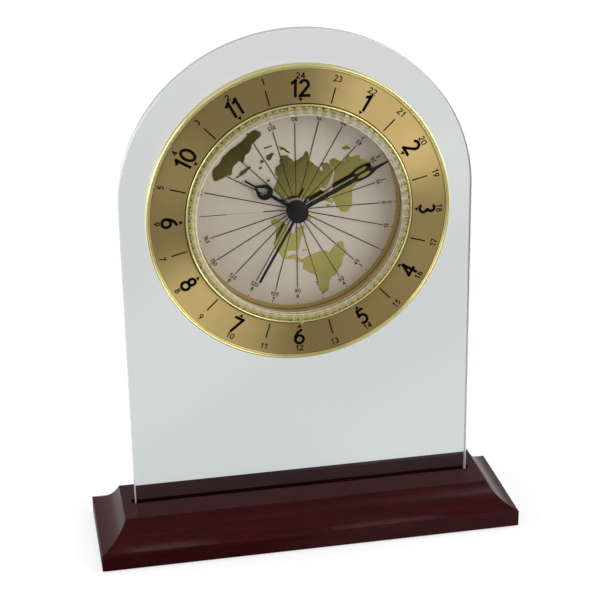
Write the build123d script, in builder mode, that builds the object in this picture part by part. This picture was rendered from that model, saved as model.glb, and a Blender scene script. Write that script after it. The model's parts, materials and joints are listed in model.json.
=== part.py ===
# World time clock: an arched glass slab stands in a coved wooden base and carries a round dial
# with a 24-hour map disc, driven by a battery movement behind it.
# The front faces -Y, +X is to the right seen from the front, and the base rests on z = 0.
# Depths are y values, and places inside the dial are measured from the dial's centre line.
from build123d import *
from math import acos, atan2, cos, degrees, radians, sin
import os

# Wooden base and the felt under it
base_length = 178.0
base_depth = 52.5
base_rise = 17.0
band_height = 7.2
band_round = 0.7
cove_run = 11.3
cove_hollow = 1.6
felt_thickness = 0.8
felt_inset = 1.2

# Glass slab, the slot that holds it and the two clear shims beside it
glass_width = 144.4
glass_thickness = 4.0
glass_bevel = 0.35
arch_rise = 69.0
arch_above_dial = 6.3
slot_depth = 12.0
slot_face_play = 0.4
slot_end_play = 1.7
shim_width = 1.6
shim_stand = 0.4
shim_seat_play = 2.0
shim_place_shares = {"left": -0.055, "right": 0.14}

# Dial ring, its brass channel and the cup behind it
dial_height = 141.2
glass_hole_radius = 45.6
bezel_radius = 62.0
bezel_wall = 1.5
bezel_back_play = 0.1
bezel_edge = 0.4
channel_floor = 0.8
lip_radius = 46.1
lip_wall = 0.8
lip_height = 0.8
tab_radius = 0.6
dial_ring_thickness = 0.8
dial_ring_play = 0.05
pad_thickness = 0.3
pad_length = 16.0
pad_width = 9.0
pad_turns = (45, 135, 225, 315)
flange_thickness = 0.9
flange_play = 0.1
cup_play = 0.4
cup_wall = 1.15
cup_floor = 1.3
well_wall = 0.6
well_radius = 43.4
well_disc_gap = 0.4

# Fluted crystal
crystal_thickness = 2.4
crystal_side = 0.9
crystal_bevel_run = 3.0
crystal_flute_depth = 0.6
crystal_flutes = 72
crystal_play = 0.1
crystal_air = 1.8

# Hands, map disc and the coaxial pipes that carry them
hand_thickness = 0.4
hand_gap = 0.3
boss_thickness = 1.4
boss_radius = 4.35
cap_radius = 4.2
cap_edge = 0.25
cap_skin = 0.45
hour_hand_length = 25.3
hour_hand_width = 1.4
hour_eye_radius = 3.3
hour_eye_place = 15.6
hour_eye_point = 21.0
hour_eye_hole_radius = 1.55
hour_eye_hole_place = 16.1
hour_eye_hole_point = 19.3
hour_tip_width = 0.8
minute_hand_length = 41.7
minute_hand_width = 1.7
minute_leaf_low = 24.6
minute_leaf_high = 37.2
minute_leaf_half = 1.75
minute_eye_low = 27.4
minute_eye_high = 33.9
minute_eye_half = 0.9
minute_tip_width = 0.7
second_hand_length = 33.0
second_hand_tail = 8.0
second_hand_width = 0.9
second_tip_width = 0.5
hour_hand_turn = 304.0
minute_hand_turn = 63.6
second_hand_turn = 210.0
disc_radius = 43.1
disc_thickness = 0.4
collet_radius = 3.6
collet_thickness = 0.5
second_arbor_radius = 0.40
minute_pipe_radius = 1.00
hour_pipe_radius = 1.70
disc_pipe_radius = 2.50
stem_radius = 4.0
running_gap = 0.05
seat_gap = 0.02

# Nut and washer that clamp the movement to the cup
nut_thickness = 1.4
nut_across_flats = 11.0
washer_thickness = 0.3
washer_radius = 7.5

# Movement case
case_half_width = 29.0
case_top = 24.0
case_wall = 1.5
case_plate = 1.2
case_round = 3.0
plate_thickness = 1.0
bearing_length = 2.2
bearing_half = 1.3
bay_wall = 1.3
bay_play = 0.6
bay_cut = 1.5
bay_notch_half = 9.0
bay_notch_depth = 6.0
compartment_play = 1.2

# Battery cell of the standard AA size, and its contacts
cell_radius = 7.1
cell_length = 49.2
cell_nub_radius = 2.7
cell_nub_length = 1.3
contact_thickness = 0.4
contact_width = 8.0
contact_height = 10.0
contact_play = 0.1

# Wheels: each works in one layer, and two layers lie a small gap apart
layer_gap = 0.3
wheel_thickness = 1.0
setting_distance = 10.0
idler_distance = 18.0
idler_turn = 20.0
third_distance = 12.5
third_turn = 180.0
motor_distance = 12.48
motor_turn = -12.0
rotor_distance = 10.08
rotor_turn = 59.6
knob_turn = 160.2
cannon_teeth = 8
motion_teeth = 24
motion_pinion_teeth = 6
hour_teeth = 24
idler_teeth = 24
idler_pinion_teeth = 6
disc_teeth = 48
knob_teeth = 8
second_teeth = 30
second_pinion_teeth = 6
third_teeth = 45
third_pinion_teeth = 6
centre_teeth = 48
motor_teeth = 36
motor_pinion_teeth = 6
rotor_teeth = 6
stud_radius = 0.8
arbor_radius = 0.4
wheel_addendum_share = 0.85
pinion_addendum_share = 0.6
dedendum_share = 1.15
wheel_tooth_shares = (1.0, 0.0)
pinion_tooth_shares = (0.34, 0.22)
smallest_wheel = 24

# Setting knob
knob_shaft_radius = 1.2
knob_radius = 5.6
knob_thickness = 3.3
knob_scallop_depth = 0.45
knob_scallops = 20

# Motor: magnet, stator, coil and the board that pulses it
magnet_radius = 2.9
magnet_air = 0.35
stator_thickness = 0.7
stator_bridge = 0.9
stator_leg = 4.0
stator_left = 3.5
stator_right = 26.5
core_thickness = 0.8
core_width = 3.0
coil_height = 19.5
coil_radius = 2.6
coil_tube_wall = 0.25
coil_flange = 0.6
coil_leg_gap = 0.6
board_thickness = 0.8
board_width = 11.0
board_side_play = 0.8
board_low = -15.5
board_high = 20.5
post_half = 1.5
post_inset = 4.0
chip_radius = 2.6
chip_rise = 1.0
quartz_radius = 1.0
quartz_length = 6.2

# Tiny overrun for cuts that go right through
overrun = 0.5

# Heights and depths that follow from the sizes above
base_top = felt_thickness + base_rise
band_top = felt_thickness + band_height
glass_foot = base_top - slot_depth
arch_height = dial_height + arch_above_dial
glass_front = -glass_thickness / 2
flange_back = glass_front - pad_thickness
flange_front = flange_back - flange_thickness
channel_front = flange_front - channel_floor
dial_face = channel_front - dial_ring_thickness
lip_front = dial_face - lip_height
crystal_front = channel_front - crystal_thickness
crystal_shoulder = channel_front - crystal_side
second_front = channel_front + crystal_air
second_back = second_front + boss_thickness
minute_front = second_back + hand_gap
minute_back = minute_front + boss_thickness
hour_front = minute_back + hand_gap
hour_back = hour_front + boss_thickness
collet_front = hour_back + hand_gap
disc_front = collet_front + collet_thickness
disc_back = disc_front + disc_thickness
nut_front = disc_back + hand_gap
nut_back = nut_front + nut_thickness
washer_back = nut_back + washer_thickness
case_front = washer_back + cup_floor
case_floor = case_front + case_plate
layer_step = wheel_thickness + layer_gap
disc_layer = case_floor + layer_gap
hour_layer = disc_layer + layer_step
minute_layer = hour_layer + layer_step
plate_front = minute_layer + layer_step
plate_back = plate_front + plate_thickness
centre_layer = plate_back + layer_gap
third_layer = centre_layer + layer_step
second_layer = third_layer + layer_step
rotor_layer = second_layer + layer_step
bearing_front = rotor_layer + layer_step
back_floor = bearing_front + bearing_length
case_back = back_floor + case_plate

# Radii that follow from the sizes above
channel_radius = bezel_radius - bezel_wall
flange_radius = channel_radius - flange_play
crystal_radius = lip_radius - lip_wall - crystal_play
cup_radius = glass_hole_radius - cup_play
cup_bore = cup_radius - cup_wall
minute_bore = second_arbor_radius + running_gap
hour_bore = minute_pipe_radius + running_gap
disc_bore = hour_pipe_radius + running_gap
stem_bore = disc_pipe_radius + running_gap
arbor_hole = arbor_radius + running_gap
stud_hole = stud_radius + running_gap

# Modules of the four pairs whose wheels share the dial's centre line, and of the motor's two pairs
minute_module = 2 * setting_distance / (cannon_teeth + motion_teeth)
hour_module = 2 * setting_distance / (motion_pinion_teeth + hour_teeth)
disc_module = 2 * idler_distance / (idler_pinion_teeth + disc_teeth)
third_module = 2 * third_distance / (third_teeth + second_pinion_teeth)
centre_module = 2 * third_distance / (third_pinion_teeth + centre_teeth)
second_module = 2 * motor_distance / (motor_pinion_teeth + second_teeth)
rotor_module = 2 * rotor_distance / (rotor_teeth + motor_teeth)


def polar(distance, turn, start=(0, 0)):
    """Place at a distance and a turn (degrees, anticlockwise seen from the front) from a start."""
    return (start[0] + distance * cos(radians(turn)), start[1] + distance * sin(radians(turn)))


def heading(start, end):
    """Turn in degrees of the line from one place to another."""
    return degrees(atan2(end[1] - start[1], end[0] - start[0]))


def meshed(turn_1, teeth_1, direction, teeth_2):
    """Turn of a second wheel whose teeth fall in the gaps of the first, along a line of centres."""
    phase = (direction - turn_1) * teeth_1 / 360
    return direction + 180 - (0.5 - phase) * 360 / teeth_2


# Places of the wheels, from the dial's centre line
centre = (0, 0)
idler_reach = minute_module * (motion_teeth + idler_teeth) / 2
idler_place = polar(idler_distance, idler_turn)
idler_corner = degrees(
    acos(
        (idler_distance**2 + setting_distance**2 - idler_reach**2)
        / (2 * idler_distance * setting_distance)
    )
)
motion_place = polar(setting_distance, idler_turn + idler_corner)
knob_place = polar(setting_distance, knob_turn, motion_place)
third_place = polar(third_distance, third_turn)
motor_place = polar(motor_distance, motor_turn)
rotor_place = polar(rotor_distance, rotor_turn, motor_place)

# Turns of the wheels at rest: each driven one is in mesh with its driver
cannon_phase = 0
motion_phase = meshed(cannon_phase, cannon_teeth, heading(centre, motion_place), motion_teeth)
knob_phase = meshed(motion_phase, motion_teeth, heading(motion_place, knob_place), knob_teeth)
idler_phase = meshed(motion_phase, motion_teeth, heading(motion_place, idler_place), idler_teeth)
hour_phase = meshed(0, motion_pinion_teeth, heading(motion_place, centre), hour_teeth)
disc_phase = meshed(0, idler_pinion_teeth, heading(idler_place, centre), disc_teeth)
third_phase = meshed(0, second_pinion_teeth, third_turn, third_teeth)
centre_phase = meshed(0, third_pinion_teeth, heading(third_place, centre), centre_teeth)
motor_pinion_phase = meshed(0, second_teeth, motor_turn, motor_pinion_teeth)
rotor_phase = meshed(0, motor_teeth, rotor_turn, rotor_teeth)

# Places of the case walls, from the dial's centre line
case_inner_half = case_half_width - case_wall
compartment_top = case_top - case_wall
compartment_low = -(disc_module * (disc_teeth / 2 + wheel_addendum_share) + compartment_play)
compartment_foot = compartment_low - case_wall
bay_height = 2 * (cell_radius + bay_play)
bay_floor = compartment_foot - bay_height
case_foot = bay_floor - bay_wall
bay_back = case_back - bay_cut
cell_place = compartment_foot - bay_height / 2
cell_depth = case_floor + contact_play + cell_radius


def face_plane(depth, place=(0, 0)):
    """Plane that faces the viewer, at a depth, centred on a place from the dial's centre line."""
    return Plane(
        origin=(place[0], depth, dial_height + place[1]), x_dir=(1, 0, 0), z_dir=(0, -1, 0)
    )


def hand_plane(depth, turn):
    """Plane whose +Y points where a hand points, by its clockwise turn from twelve o'clock."""
    across = (cos(radians(turn)), 0, -sin(radians(turn)))
    return Plane(origin=(0, depth, dial_height), x_dir=across, z_dir=(0, -1, 0))


def round_bar(radius, front, back, place=(0, 0), mode=Mode.ADD):
    """Round bar along the depth, from its front to its back."""
    with BuildSketch(face_plane(back, place)) as section:
        Circle(radius)
    extrude(section.sketch, amount=back - front, mode=mode)


def square_bar(half_width, front, back, place):
    """Square bar along the depth, from its front to its back."""
    with BuildSketch(face_plane(back, place)) as section:
        Rectangle(2 * half_width, 2 * half_width)
    extrude(section.sketch, amount=back - front)


def block(left, right, low, high, front, back, mode=Mode.ADD, corner=0):
    """Block between two sides, two heights and two depths, with its long corners rounded."""
    with BuildSketch(face_plane(back, ((left + right) / 2, (low + high) / 2))) as section:
        if corner > 0:
            RectangleRounded(right - left, high - low, corner)
        else:
            Rectangle(right - left, high - low)
    extrude(section.sketch, amount=back - front, mode=mode)


def turned(points):
    """Ring or bowl turned about the dial's centre line from (radius, depth) points."""
    with BuildSketch(Plane.XY.offset(dial_height)) as section:
        with BuildLine():
            Polyline(*points, close=True)
        make_face()
    revolve(section.sketch, axis=Axis((0, 0, dial_height), (0, 1, 0)))


def tooth_points(teeth, module, turn):
    """Outline with two straight flanks per tooth: pointed on a wheel, cut flat on a pinion."""
    is_wheel = teeth >= smallest_wheel
    foot, top = wheel_tooth_shares if is_wheel else pinion_tooth_shares
    addendum = wheel_addendum_share if is_wheel else pinion_addendum_share
    root, tip = (module * (teeth / 2 + step) for step in (-dedendum_share, addendum))
    corners = ((root, -foot), (tip, top)) if is_wheel else (
        (root, -foot), (tip, -top), (tip, top), (root, foot)
    )
    return [
        polar(radius, turn + (tooth + width / 2) * 360 / teeth)
        for tooth in range(teeth)
        for radius, width in corners
    ]


def toothed_disc(teeth, module, turn, front, place=(0, 0), thickness=wheel_thickness):
    """Toothed wheel, one layer thick unless it is given another thickness."""
    with BuildSketch(face_plane(front + thickness, place)) as section:
        with BuildLine():
            Polyline(*tooth_points(teeth, module, turn), close=True)
        make_face()
    extrude(section.sketch, amount=thickness)


def coved_section(half_span):
    """End view of the base: a straight band, a rounded shoulder, a hollow cove and a flat top."""
    shoulder = half_span - band_round
    top_edge = half_span - cove_run
    with BuildSketch(mode=Mode.PRIVATE) as section:
        with BuildLine():
            Line((0, base_top), (top_edge, base_top))
            SagittaArc((top_edge, base_top), (shoulder, band_top), -cove_hollow)
            RadiusArc((shoulder, band_top), (half_span, band_top - band_round), band_round)
            Line((half_span, band_top - band_round), (half_span, felt_thickness))
            Line((half_span, felt_thickness), (0, felt_thickness))
            mirror(about=Plane.YZ)
        make_face()
    return section.sketch


def drop_face(radius, middle, point):
    """Face of a drop: a round end, and two straight sides that meet in a point."""
    lean = acos(radius / (point - middle))
    side = (radius * sin(lean), middle + radius * cos(lean))
    with BuildSketch(mode=Mode.PRIVATE) as drop:
        with BuildLine():
            ThreePointArc((-side[0], side[1]), (0, middle - radius), side)
            Polyline(side, (0, point), (-side[0], side[1]))
        make_face()
    return drop.sketch


def leaf_face(low, high, half_width):
    """Face of a leaf: two arcs that meet in a point at each end."""
    middle = (low + high) / 2
    with BuildSketch(mode=Mode.PRIVATE) as leaf:
        with BuildLine():
            ThreePointArc((0, low), (half_width, middle), (0, high))
            ThreePointArc((0, high), (-half_width, middle), (0, low))
        make_face()
    return leaf.sketch


def taper_face(low, high, low_width, high_width):
    """Face of a straight bar that narrows from one end to the other."""
    with BuildSketch(mode=Mode.PRIVATE) as bar:
        with BuildLine():
            Polyline(
                (-low_width / 2, low),
                (low_width / 2, low),
                (high_width / 2, high),
                (-high_width / 2, high),
                close=True,
            )
        make_face()
    return bar.sketch


def lobed_face(radius, depth, lobes):
    """Face with a ring of straight-sided flutes, as deep as given."""
    outline = [
        polar(radius - depth * (step % 2), 180 * step / lobes) for step in range(2 * lobes)
    ]
    with BuildSketch(mode=Mode.PRIVATE) as rim:
        with BuildLine():
            Polyline(*outline, close=True)
        make_face()
    return rim.sketch


# Wooden base: a coved moulding on all four sides, and the slot that the glass stands in
with BuildPart() as base:
    with BuildSketch(Plane.YZ):
        add(coved_section(base_depth / 2))
    extrude(amount=base_length / 2, both=True)
    with BuildSketch(Plane.XZ):
        add(coved_section(base_length / 2))
    extrude(amount=base_depth / 2, both=True, mode=Mode.INTERSECT)
    with BuildSketch(Plane.XY.offset(base_top)):
        SlotOverall(glass_width + 2 * slot_end_play, glass_thickness + 2 * slot_face_play)
    extrude(amount=-slot_depth, mode=Mode.SUBTRACT)

with BuildPart() as base_felt:
    with BuildSketch(Plane.XY):
        Rectangle(base_length - 2 * felt_inset, base_depth - 2 * felt_inset)
    extrude(amount=felt_thickness)

# Glass slab: straight sides, a low elliptical arch, bevelled edges and the hole for the cup
with BuildPart() as glass_panel:
    with BuildSketch(Plane.XZ.offset(glass_front)):
        with BuildLine():
            Polyline(
                (-glass_width / 2, arch_height),
                (-glass_width / 2, glass_foot),
                (glass_width / 2, glass_foot),
                (glass_width / 2, arch_height),
            )
            EllipticalCenterArc(
                (0, arch_height), glass_width / 2, arch_rise, start_angle=0, arc_size=180
            )
        make_face()
    extrude(amount=glass_thickness)
    rims = glass_panel.faces().sort_by(Axis.Y)
    chamfer(rims[0].edges() + rims[-1].edges(), glass_bevel)
    round_bar(glass_hole_radius, -glass_thickness, glass_thickness, mode=Mode.SUBTRACT)

# Clear shims that fill the play in front of the glass
slot_shims = {}
shim_low = glass_foot + shim_seat_play
shim_high = base_top + shim_stand
for side, share in shim_place_shares.items():
    with BuildPart() as slot_shim:
        with BuildSketch(Plane.XZ.offset(-glass_front)):
            with Locations((share * glass_width, (shim_low + shim_high) / 2)):
                Rectangle(shim_width, shim_high - shim_low)
        extrude(amount=slot_face_play)
    slot_shims[f"slot_shim_{side}"] = slot_shim

# Brass channel that frames the dial ring, with a lip on each side and a tab at six o'clock
with BuildPart() as bezel:
    turned(
        [
            (bezel_radius, glass_front - bezel_back_play),
            (bezel_radius, lip_front + bezel_edge),
            (bezel_radius - bezel_edge, lip_front),
            (channel_radius, lip_front),
            (channel_radius, channel_front),
            (lip_radius, channel_front),
            (lip_radius, lip_front),
            (lip_radius - lip_wall, lip_front),
            (lip_radius - lip_wall, channel_front),
            (well_radius, channel_front),
            (well_radius, flange_front),
            (channel_radius, flange_front),
            (channel_radius, glass_front - bezel_back_play),
        ]
    )
    round_bar(tab_radius, lip_front, dial_face, polar(lip_radius, -90))

# Brushed ring that carries the hour numbers
with BuildPart() as dial_ring:
    with BuildSketch(face_plane(channel_front)):
        Circle(channel_radius - dial_ring_play)
        Circle(lip_radius + dial_ring_play, mode=Mode.SUBTRACT)
    extrude(amount=dial_ring_thickness)

# Clear crystal: straight flutes round its edge, which run on up the bevel to the flat top
crystal_top_radius = crystal_radius - crystal_bevel_run
crystal_top_flute = crystal_flute_depth * crystal_top_radius / crystal_radius
with BuildPart() as crystal:
    with BuildSketch(face_plane(channel_front)):
        add(lobed_face(crystal_radius, crystal_flute_depth, crystal_flutes))
    extrude(amount=crystal_side)
    with BuildSketch(face_plane(crystal_shoulder)):
        add(lobed_face(crystal_radius, crystal_flute_depth, crystal_flutes))
    with BuildSketch(face_plane(crystal_front)):
        add(lobed_face(crystal_top_radius, crystal_top_flute, crystal_flutes))
    loft(ruled=True)

# Gold sleeve that lines the well in front of the map disc
with BuildPart() as well_ring:
    with BuildSketch(face_plane(disc_front - well_disc_gap)):
        Circle(well_radius + well_wall)
        Circle(well_radius, mode=Mode.SUBTRACT)
    extrude(amount=disc_front - well_disc_gap - flange_front)

# Black cup: a flange in front of the glass, a round wall through it and a floor behind it
with BuildPart() as housing_cup:
    turned(
        [
            (cup_bore, flange_front),
            (flange_radius, flange_front),
            (flange_radius, flange_back),
            (cup_radius, flange_back),
            (cup_radius, case_front),
            (stem_radius + running_gap, case_front),
            (stem_radius + running_gap, washer_back),
            (cup_bore, washer_back),
        ]
    )

# Foam tape pads that hold the flange to the glass
foam_pads = {}
pad_reach = (flange_radius + glass_hole_radius) / 2
for number, turn in enumerate(pad_turns, start=1):
    with BuildPart() as foam_pad:
        with BuildSketch(face_plane(glass_front)):
            with Locations(Location(polar(pad_reach, turn), turn)):
                Rectangle(pad_width, pad_length)
        extrude(amount=pad_thickness)
    foam_pads[f"foam_pad_{number}"] = foam_pad

with BuildPart() as stem_washer:
    with BuildSketch(face_plane(washer_back)):
        Circle(washer_radius)
        Circle(stem_radius + running_gap, mode=Mode.SUBTRACT)
    extrude(amount=washer_thickness)

with BuildPart() as stem_nut:
    with BuildSketch(face_plane(nut_back)):
        RegularPolygon(nut_across_flats / 2, 6, major_radius=False)
        Circle(stem_radius + running_gap, mode=Mode.SUBTRACT)
    extrude(amount=nut_thickness)

# Map disc, pressed on its pipe by a collet
with BuildPart() as map_disc:
    round_bar(disc_radius, disc_front, disc_back)
    round_bar(collet_radius, collet_front, disc_front)
    round_bar(disc_pipe_radius + seat_gap, collet_front - overrun, disc_back, mode=Mode.SUBTRACT)

# Hour hand: a drop-shaped eye on a straight bar
with BuildPart() as hour_hand:
    with BuildSketch(hand_plane((hour_front + hour_back + hand_thickness) / 2, hour_hand_turn)):
        add(taper_face(0, hour_eye_place, hour_hand_width, hour_hand_width))
        add(taper_face(hour_eye_place, hour_hand_length, hour_tip_width, hour_tip_width))
        add(drop_face(hour_eye_radius, hour_eye_place, hour_eye_point))
        add(
            drop_face(hour_eye_hole_radius, hour_eye_hole_place, hour_eye_hole_point),
            mode=Mode.SUBTRACT,
        )
    extrude(amount=hand_thickness)
    round_bar(boss_radius, hour_front, hour_back)
    round_bar(hour_pipe_radius + seat_gap, hour_front, hour_back, mode=Mode.SUBTRACT)

# Minute hand: an open leaf near its end
with BuildPart() as minute_hand:
    with BuildSketch(
        hand_plane((minute_front + minute_back + hand_thickness) / 2, minute_hand_turn)
    ):
        add(taper_face(0, minute_eye_low, minute_hand_width, minute_hand_width))
        add(taper_face(minute_eye_high, minute_hand_length, minute_hand_width, minute_tip_width))
        add(leaf_face(minute_leaf_low, minute_leaf_high, minute_leaf_half))
        add(leaf_face(minute_eye_low, minute_eye_high, minute_eye_half), mode=Mode.SUBTRACT)
    extrude(amount=hand_thickness)
    round_bar(boss_radius, minute_front, minute_back)
    round_bar(minute_pipe_radius + seat_gap, minute_front, minute_back, mode=Mode.SUBTRACT)

# Seconds hand: a plain stick with a short tail under a round cap
with BuildPart() as second_hand:
    with BuildSketch(
        hand_plane((second_front + second_back + hand_thickness) / 2, second_hand_turn)
    ):
        add(taper_face(-second_hand_tail, 0, second_hand_width, second_hand_width))
        add(taper_face(0, second_hand_length, second_hand_width, second_tip_width))
    extrude(amount=hand_thickness)
    round_bar(cap_radius, second_front, second_back)
    chamfer(second_hand.faces().sort_by(Axis.Y)[0].edges(), cap_edge)
    round_bar(
        second_arbor_radius + seat_gap, second_front + cap_skin, second_back, mode=Mode.SUBTRACT
    )

# Wheels on the dial's centre line, from the back pipe to the inner arbor
with BuildPart() as wheel_24_hour:
    toothed_disc(disc_teeth, disc_module, disc_phase, disc_layer)
    round_bar(disc_pipe_radius, collet_front, disc_layer)
    round_bar(disc_bore, collet_front, disc_layer + wheel_thickness, mode=Mode.SUBTRACT)

with BuildPart() as hour_wheel:
    toothed_disc(hour_teeth, hour_module, hour_phase, hour_layer)
    round_bar(hour_pipe_radius, hour_front, hour_layer)
    round_bar(hour_bore, hour_front, hour_layer + wheel_thickness, mode=Mode.SUBTRACT)

with BuildPart() as minute_pinion:
    toothed_disc(cannon_teeth, minute_module, cannon_phase, minute_layer)
    round_bar(minute_pipe_radius, minute_front, centre_layer + wheel_thickness)
    round_bar(
        minute_bore, minute_front, centre_layer + wheel_thickness, mode=Mode.SUBTRACT
    )

with BuildPart() as centre_wheel:
    toothed_disc(centre_teeth, centre_module, centre_phase, centre_layer)
    round_bar(hour_bore, centre_layer, centre_layer + wheel_thickness, mode=Mode.SUBTRACT)

with BuildPart() as seconds_wheel:
    toothed_disc(second_teeth, second_module, 0, second_layer)
    toothed_disc(second_pinion_teeth, third_module, 0, third_layer, thickness=layer_step)
    round_bar(second_arbor_radius, second_front + cap_skin + seat_gap, back_floor - bearing_half)

# Setting train: the motion wheel turns the hour wheel and, through the idler, the 24-hour wheel
with BuildPart() as motion_wheel:
    toothed_disc(motion_teeth, minute_module, motion_phase, minute_layer, motion_place)
    toothed_disc(motion_pinion_teeth, hour_module, 0, hour_layer, motion_place, layer_step)
    round_bar(stud_hole, hour_layer, plate_front, motion_place, mode=Mode.SUBTRACT)

with BuildPart() as intermediate_24_hour_wheel:
    toothed_disc(idler_teeth, minute_module, idler_phase, minute_layer, idler_place)
    toothed_disc(idler_pinion_teeth, disc_module, 0, disc_layer, idler_place, 2 * layer_step)
    round_bar(stud_hole, disc_layer, plate_front, idler_place, mode=Mode.SUBTRACT)

with BuildPart() as setting_knob:
    toothed_disc(knob_teeth, minute_module, knob_phase, minute_layer, knob_place)
    round_bar(knob_shaft_radius, minute_layer, case_back + layer_gap, knob_place)
    with BuildSketch(face_plane(case_back + layer_gap + knob_thickness, knob_place)):
        add(lobed_face(knob_radius, knob_scallop_depth, knob_scallops))
    extrude(amount=knob_thickness)

# Running train: rotor, motor wheel, seconds wheel, third wheel and centre wheel
with BuildPart() as third_wheel:
    toothed_disc(third_teeth, third_module, third_phase, third_layer, third_place)
    toothed_disc(third_pinion_teeth, centre_module, 0, centre_layer, third_place, layer_step)
    round_bar(arbor_radius, plate_front + layer_gap, back_floor - bearing_half, third_place)

with BuildPart() as motor_wheel:
    toothed_disc(motor_teeth, rotor_module, 0, rotor_layer, motor_place)
    toothed_disc(
        motor_pinion_teeth, second_module, motor_pinion_phase, second_layer, motor_place, layer_step
    )
    round_bar(arbor_radius, plate_front + layer_gap, back_floor - bearing_half, motor_place)

with BuildPart() as rotor:
    toothed_disc(rotor_teeth, rotor_module, rotor_phase, rotor_layer, rotor_place)
    round_bar(magnet_radius, centre_layer + layer_gap, second_layer, rotor_place)
    round_bar(arbor_radius, plate_front + layer_gap, back_floor - bearing_half, rotor_place)

# Motor: stator plate with the magnet's hole, a core bar across its legs, and the coil on the core
stator_hole = magnet_radius + magnet_air
stator_front = third_layer + layer_gap / 3
stator_back = stator_front + stator_thickness
core_back = stator_back + core_thickness
coil_depth = stator_back + core_thickness / 2
coil_left = stator_left + stator_leg + coil_leg_gap
coil_right = stator_right - stator_leg - coil_leg_gap
leg_places = [
    (stator_left + stator_leg / 2, coil_height),
    (stator_right - stator_leg / 2, coil_height),
]
with BuildPart() as stator_plate:
    stator_low = rotor_place[1] - stator_hole - stator_bridge
    stator_mid = rotor_place[1] + stator_hole + stator_bridge
    stator_high = coil_height + core_width / 2
    block(stator_left, stator_right, stator_low, stator_mid, stator_front, stator_back)
    for side in (stator_left, stator_right - stator_leg):
        block(side, side + stator_leg, stator_low, stator_high, stator_front, stator_back)
    round_bar(stator_hole, stator_front, stator_back, rotor_place, mode=Mode.SUBTRACT)

with BuildPart() as coil_core:
    block(
        stator_left,
        stator_right,
        coil_height - core_width / 2,
        coil_height + core_width / 2,
        stator_back,
        core_back,
    )

coil_plane = Plane(
    origin=(coil_left, coil_depth, dial_height + coil_height), x_dir=(0, 1, 0), z_dir=(1, 0, 0)
)
coil_slot = (core_thickness + 2 * running_gap, core_width + 2 * running_gap)
coil_tube = [side + 2 * coil_tube_wall for side in coil_slot]
with BuildPart() as coil_bobbin:
    with BuildSketch(coil_plane):
        Rectangle(*coil_tube)
    extrude(amount=coil_right - coil_left)
    with BuildSketch(coil_plane, coil_plane.offset(coil_right - coil_left - coil_flange)):
        Rectangle(2 * coil_radius, 2 * coil_radius)
    extrude(amount=coil_flange)
    with BuildSketch(coil_plane):
        Rectangle(*coil_slot)
    extrude(amount=coil_right - coil_left, mode=Mode.SUBTRACT)

with BuildPart() as coil_winding:
    with BuildSketch(coil_plane.offset(coil_flange)):
        Circle(coil_radius - seat_gap)
        Rectangle(*(side + 2 * seat_gap for side in coil_tube), mode=Mode.SUBTRACT)
    extrude(amount=coil_right - coil_left - 2 * coil_flange)

# Board with its drive chip, and the quartz can that times it
board_left = -case_inner_half + board_side_play
board_right = board_left + board_width
board_middle = (board_left + board_right) / 2
board_back = back_floor - board_thickness
board_front = board_back - board_thickness
post_places = [
    (board_middle, board_low + post_inset),
    (board_middle, board_high - post_inset),
]
with BuildPart() as circuit_board:
    block(board_left, board_right, board_low, board_high, board_front, board_back)
    round_bar(chip_radius, board_front - chip_rise, board_front, (board_middle, 0))
    chamfer(circuit_board.faces().sort_by(Axis.Y)[0].edges(), chip_rise / 2)

with BuildPart() as quartz_can:
    with BuildSketch(
        Plane(
            origin=(board_middle, board_front - quartz_radius, dial_height + post_places[1][1]),
            z_dir=(0, 0, -1),
        )
    ):
        Circle(quartz_radius)
    extrude(amount=quartz_length)

# Front shell: plate, compartment walls, battery bay and the stem that passes through the cup
with BuildPart() as movement_front_shell:
    block(
        -case_half_width, case_half_width, case_foot, case_top, case_front, bay_back,
        corner=case_round,
    )
    block(
        -case_half_width, case_half_width, compartment_foot, case_top, plate_front, bay_back,
        mode=Mode.SUBTRACT,
    )
    block(
        -case_inner_half, case_inner_half, compartment_low, compartment_top, case_floor,
        plate_front, mode=Mode.SUBTRACT,
    )
    block(
        -case_inner_half, case_inner_half, bay_floor, compartment_foot, case_floor, bay_back,
        mode=Mode.SUBTRACT,
    )
    block(
        -bay_notch_half, bay_notch_half, case_foot, bay_floor, bay_back - bay_notch_depth, bay_back,
        mode=Mode.SUBTRACT,
    )
    round_bar(stem_radius, nut_front, case_front)
    round_bar(stem_bore, nut_front, case_floor, mode=Mode.SUBTRACT)

# Middle plate: carries the studs of the setting train, the front pivots of the running train,
# and the two posts that the stator and the coil's core rest on
with BuildPart() as movement_middle_plate:
    block(-case_half_width, case_half_width, compartment_foot, case_top, plate_front, plate_back)
    round_bar(stud_radius, hour_layer, plate_front, motion_place)
    round_bar(stud_radius, disc_layer, plate_front, idler_place)
    for place in leg_places:
        square_bar(post_half, plate_back, stator_front, place)
    round_bar(hour_bore, plate_front, plate_back, mode=Mode.SUBTRACT)
    round_bar(knob_shaft_radius + running_gap, plate_front, plate_back, knob_place, Mode.SUBTRACT)
    for place in (third_place, motor_place, rotor_place):
        round_bar(arbor_hole, plate_front, plate_back, place, mode=Mode.SUBTRACT)

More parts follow.
